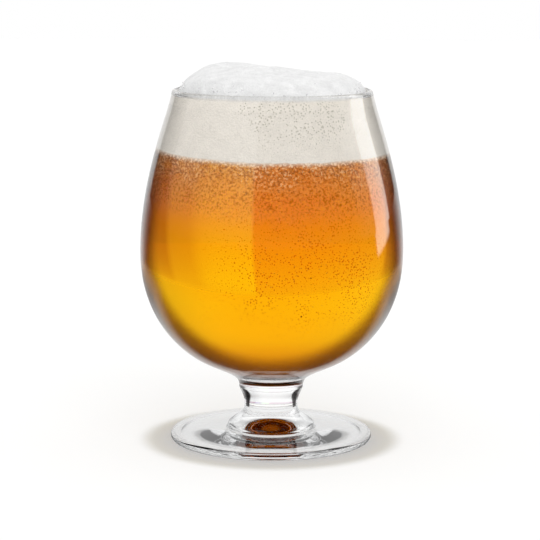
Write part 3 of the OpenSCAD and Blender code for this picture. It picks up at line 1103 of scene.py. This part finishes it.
def studio_through(n, azimuth, rise):
    """What shows through the glass: a white wall, dimmer high up and on its right, between dark panels."""
    wall = n.spread(rise, 7.0, 36.0, 1.10, 0.55, smooth=True)
    panels = n.times(n.band(n.math("ABSOLUTE", azimuth), 108, 134, 8.0), n.band(rise, 6, 70, 6.0))
    wall = n.times(wall, n.minus(1.0, n.times(panels, 0.8)))
    return n.times(wall, n.minus(1.0, n.times(n.band(azimuth, 134, 160, 9.0), 0.14)))


def studio_world(s):
    """Light from all round: a plain level for what scatters it, the studio for gloss and for glass."""
    world = bpy.data.worlds.new("Studio")
    bpy.context.scene.world = world
    world.use_nodes = True
    world.node_tree.nodes.clear()
    n = Nodes(world.node_tree)
    way = n.add("ShaderNodeTexCoord").outputs["Generated"]
    azimuth = n.math("DEGREES", n.math("ARCTAN2", n.part(way, "x"), n.times(n.part(way, "y"), -1.0)))
    rise = n.math("DEGREES", n.math("ARCSINE", n.part(way, "z")))
    ray = n.add("ShaderNodeLightPath").outputs
    strength = n.pick(ray["Is Glossy Ray"], s.ambient, studio_gloss(n, azimuth, rise))
    strength = n.pick(ray["Is Transmission Ray"], strength, studio_through(n, azimuth, rise))
    strength = n.pick(ray["Is Camera Ray"], strength, 1.0)
    light = n.out("ShaderNodeBackground", {0: (*WHITE, 1.0), 1: strength})
    n.add("ShaderNodeOutputWorld", {0: light})


def floor_seen(n, ray, away, azimuth):
    """White paper that keeps the glass's shadow. Through the drink it shows painted light and shade in soft
    panes behind the glass; through glass it has a painted glow, strongest near the foot.
    """
    stops = [((at + PANE_REACH) / (2 * PANE_REACH), shade) for at, shade in PAINTED_PANES]
    panes = n.colours(n.spread(azimuth, -PANE_REACH, PANE_REACH), stops)
    pane = n.blend(n.spread(away, 0.42, 2.6, 0.0, 0.8), panes, WHITE)
    beyond = n.times(n.spread(away, 0.13, 0.17), ray["Is Transmission Ray"])
    pane = n.blend(beyond, WHITE, pane)
    paper = n.out("ShaderNodeVectorMath", {0: PAPER, 1: pane}, operation="MULTIPLY")
    paper = n.out("ShaderNodeBsdfDiffuse", {"Color": paper})
    # Painted glow, seen only through glass: strongest near the foot, and a fainter one that grows far off
    far = n.spread(away, 0.2, 0.9, 0.06, 0.16)
    near = n.spread(away, 0.03, 0.12, 0.5, 0.0, smooth=True)
    through = n.times(ray["Is Transmission Ray"], n.plus(far, near))
    glow = n.out("ShaderNodeEmission", {1: n.plus(n.times(ray["Is Camera Ray"], 0.15), through)})
    return n.out("ShaderNodeAddShader", {0: paper, 1: glow})


def floor_mirrored(n, away, azimuth):
    """The floor in the glass's gloss, as painted glow: bright behind the glass, dark at its sides, and a
    painted foot of the strip.
    """
    bright = n.minus(0.9, n.times(n.band(away, 0.17, 0.36, 0.05), 0.4))
    width = n.spread(away, 0.2, 0.4, 66.0, 38.0)
    inside = n.spread(n.minus(width, n.math("ABSOLUTE", azimuth)), -12.0, 12.0, smooth=True)
    tip = n.minus(n.math("DIVIDE", 1.0, away), n.times(azimuth, 0.0414))
    strip = n.times(n.band(azimuth, 57.0, 79.0, 1.5), n.band(tip, -9.0, -1.65, 0.2))
    strength = n.plus(n.plus(n.times(inside, bright), STRAY), n.times(strip, STRIP))
    return n.out("ShaderNodeEmission", {1: strength})


def floor_finish():
    """Plain white floor, seen straight or through glass in one way and in the glass's gloss in another, with
    painted light through glass and in gloss.
    """
    material, n = new_material("Studio floor", (0.9, 0.9, 0.9))
    ray = n.add("ShaderNodeLightPath").outputs
    place = n.place()
    away = n.add("ShaderNodeVectorMath", {0: place}, operation="LENGTH").outputs["Value"]
    azimuth = n.math("DEGREES", n.math("ARCTAN2", n.part(place, "x"), n.part(place, "y")))
    seen, mirrored = floor_seen(n, ray, away, azimuth), floor_mirrored(n, away, azimuth)
    in_gloss = n.math("MINIMUM", ray["Glossy Depth"], 1.0)
    n.finish(n.out("ShaderNodeMixShader", {0: in_gloss, 1: seen, 2: mirrored}))
    return material


class BEERGLASS_OT_stage(bpy.types.Operator):
    """Makes the floor, the light and the camera"""

    bl_idname = "beer_glass.stage"
    bl_label = "Stage"

    def execute(self, context):
        s = context.scene.beer_studio
        scene = context.scene
        half = s.floor_half
        corners = [(-half, -half, 0), (half, -half, 0), (half, half, 0), (-half, half, 0)]
        floor = new_object("floor", new_mesh("floor", corners, [(0, 1, 2, 3)]))
        floor.data.materials.append(floor_finish())

        for name, strength, tilt, turn, spread in (
            ("top_light", s.top_light, -1.2, 0.0, 5.5),
            ("front_light", s.front_light, 60.0, 6.0, 70.0),
        ):
            lamp = bpy.data.lights.new(name, "SUN")
            lamp.energy = strength
            lamp.angle = math.radians(spread)
            light = new_object(name, lamp)
            light.rotation_euler = (math.radians(tilt), 0.0, math.radians(turn))
            light.visible_glossy = False
            light.visible_transmission = False

        studio_world(s)

        camera = new_object("camera", bpy.data.cameras.new("camera"))
        camera.data.lens = s.lens
        camera.location = s.camera_at
        camera.rotation_mode = "ZXY"
        camera.rotation_euler = (math.pi / 2 - s.camera_pitch, 0.0, 0.0)
        camera.rotation_euler.rotate_axis("Z", s.camera_roll)
        scene.camera = camera

        scene.view_settings.view_transform = "Standard"
        scene.cycles.max_bounces = 24
        scene.cycles.transmission_bounces = 24
        scene.cycles.glossy_bounces = 8
        scene.cycles.transparent_max_bounces = 24
        scene.cycles.caustics_refractive = False
        scene.cycles.caustics_reflective = False
        return {"FINISHED"}


class BEERGLASS_PT_sidebar(bpy.types.Panel):
    """Lists the pieces that can be made"""

    bl_label = "Beer Glass"
    bl_idname = "BEERGLASS_PT_sidebar"
    bl_space_type = "VIEW_3D"
    bl_region_type = "UI"
    bl_category = "Beer Glass"

    def draw(self, context):
        for kind in OPERATORS:
            self.layout.operator(kind.bl_idname)


GROUPS = {
    "beer_glass": BEERGLASS_PG_glass,
    "beer_drink": BEERGLASS_PG_drink,
    "beer_studio": BEERGLASS_PG_studio,
}
OPERATORS = (
    BEERGLASS_OT_stage,
    BEERGLASS_OT_glass,
    BEERGLASS_OT_beer,
    BEERGLASS_OT_foam,
    BEERGLASS_OT_bubbles,
)


def register():
    """Registers the classes and the settings."""
    for kind in (*GROUPS.values(), *OPERATORS, BEERGLASS_PT_sidebar):
        bpy.utils.register_class(kind)
    for name, kind in GROUPS.items():
        setattr(bpy.types.Scene, name, PointerProperty(type=kind))


def unregister():
    """Undoes register."""
    for name in GROUPS:
        delattr(bpy.types.Scene, name)
    for kind in (BEERGLASS_PT_sidebar, *OPERATORS, *GROUPS.values()):
        bpy.utils.unregister_class(kind)


def main():
    """Makes the stage and every piece."""
    register()
    bpy.ops.beer_glass.stage()
    bpy.ops.beer_glass.glass()
    bpy.ops.beer_glass.beer()
    bpy.ops.beer_glass.foam()
    bpy.ops.beer_glass.bubbles()


if __name__ == "__main__":
    main()
